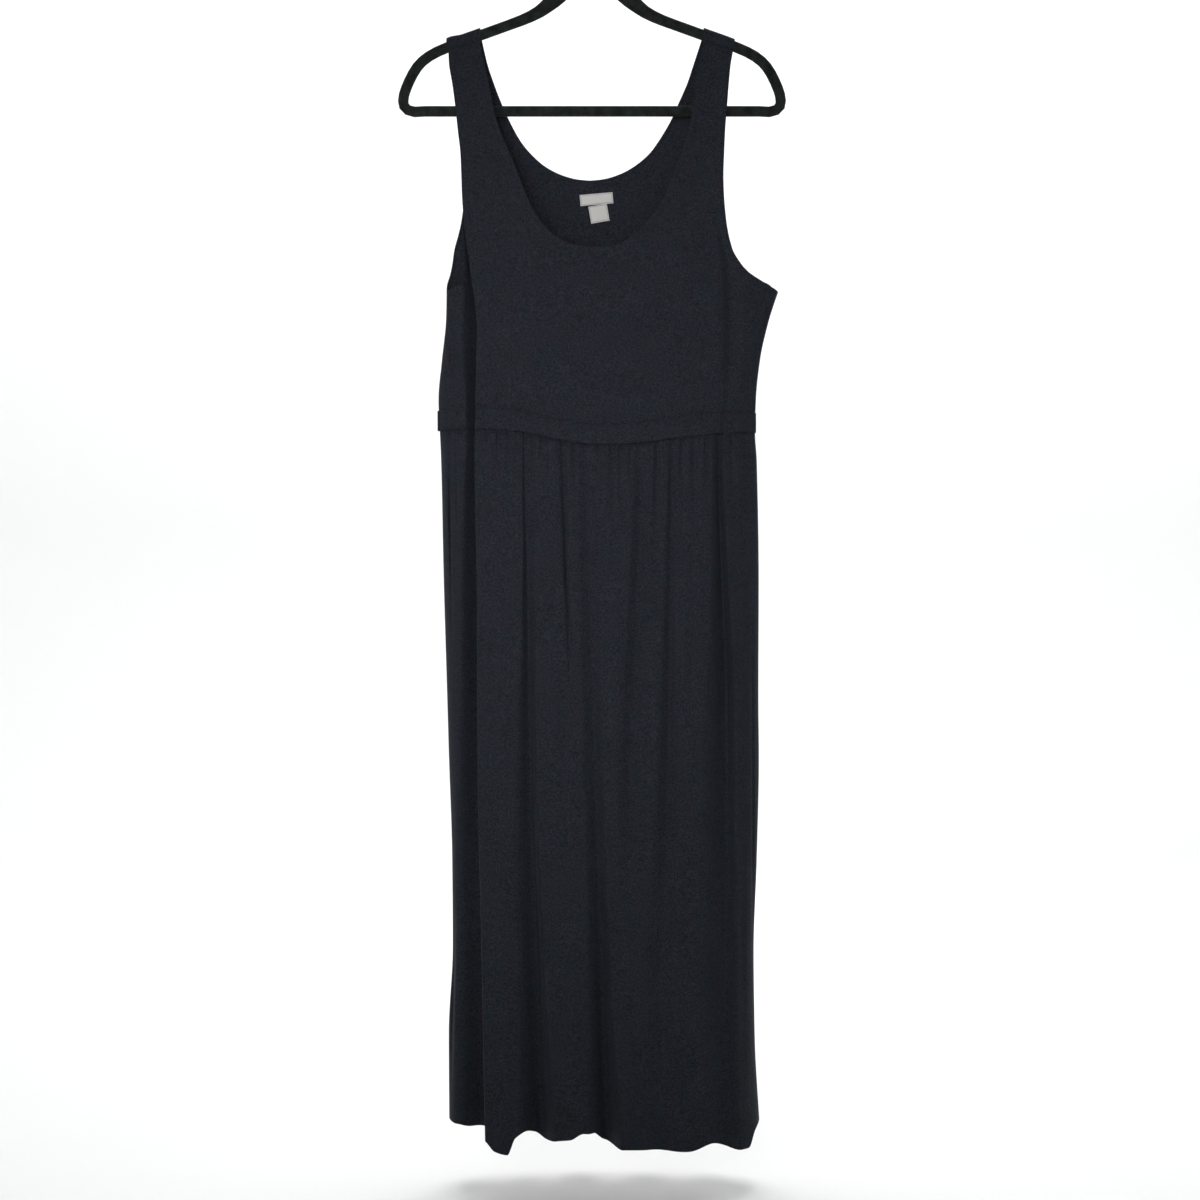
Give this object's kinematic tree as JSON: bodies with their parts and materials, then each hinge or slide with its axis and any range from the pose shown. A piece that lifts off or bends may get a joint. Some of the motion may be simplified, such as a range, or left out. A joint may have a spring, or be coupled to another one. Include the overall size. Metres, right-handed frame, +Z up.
{
  "type": "maxi dress on a hanger",
  "caption": "Sleeveless knit maxi dress with wide straps, scoop neck, waistband casing and gathered skirt, hanging flat from a slim flocked hanger.",
  "frame": {"origin": "inside top of the hanger's hook, where the rail bears", "axes": "+Z up, -Y towards the viewer of the dress's front, +X to that viewer's right, along the hanger"},
  "size_m": [0.445, 0.0857, 1.4074],
  "materials": {
    "jersey": "soft matte blue-black rayon jersey knit with fine vertical wales",
    "waistband": "the same jersey folded over elastic",
    "label": "blank woven satin ribbon, off-white with a grey border",
    "flocking": "moulded plastic covered in short black flock",
    "hook_steel": "polished plated steel wire"
  },
  "bodies": {
    "root": {"front_bodice": "jersey", "back_bodice": "jersey", "front_waistband": "waistband", "back_waistband": "waistband", "front_skirt": "jersey", "back_skirt": "jersey", "neck_label": "label", "size_tab": "label", "hanger_body": "flocking", "hanger_hook": "hook_steel"}
  },
  "joints": []
}
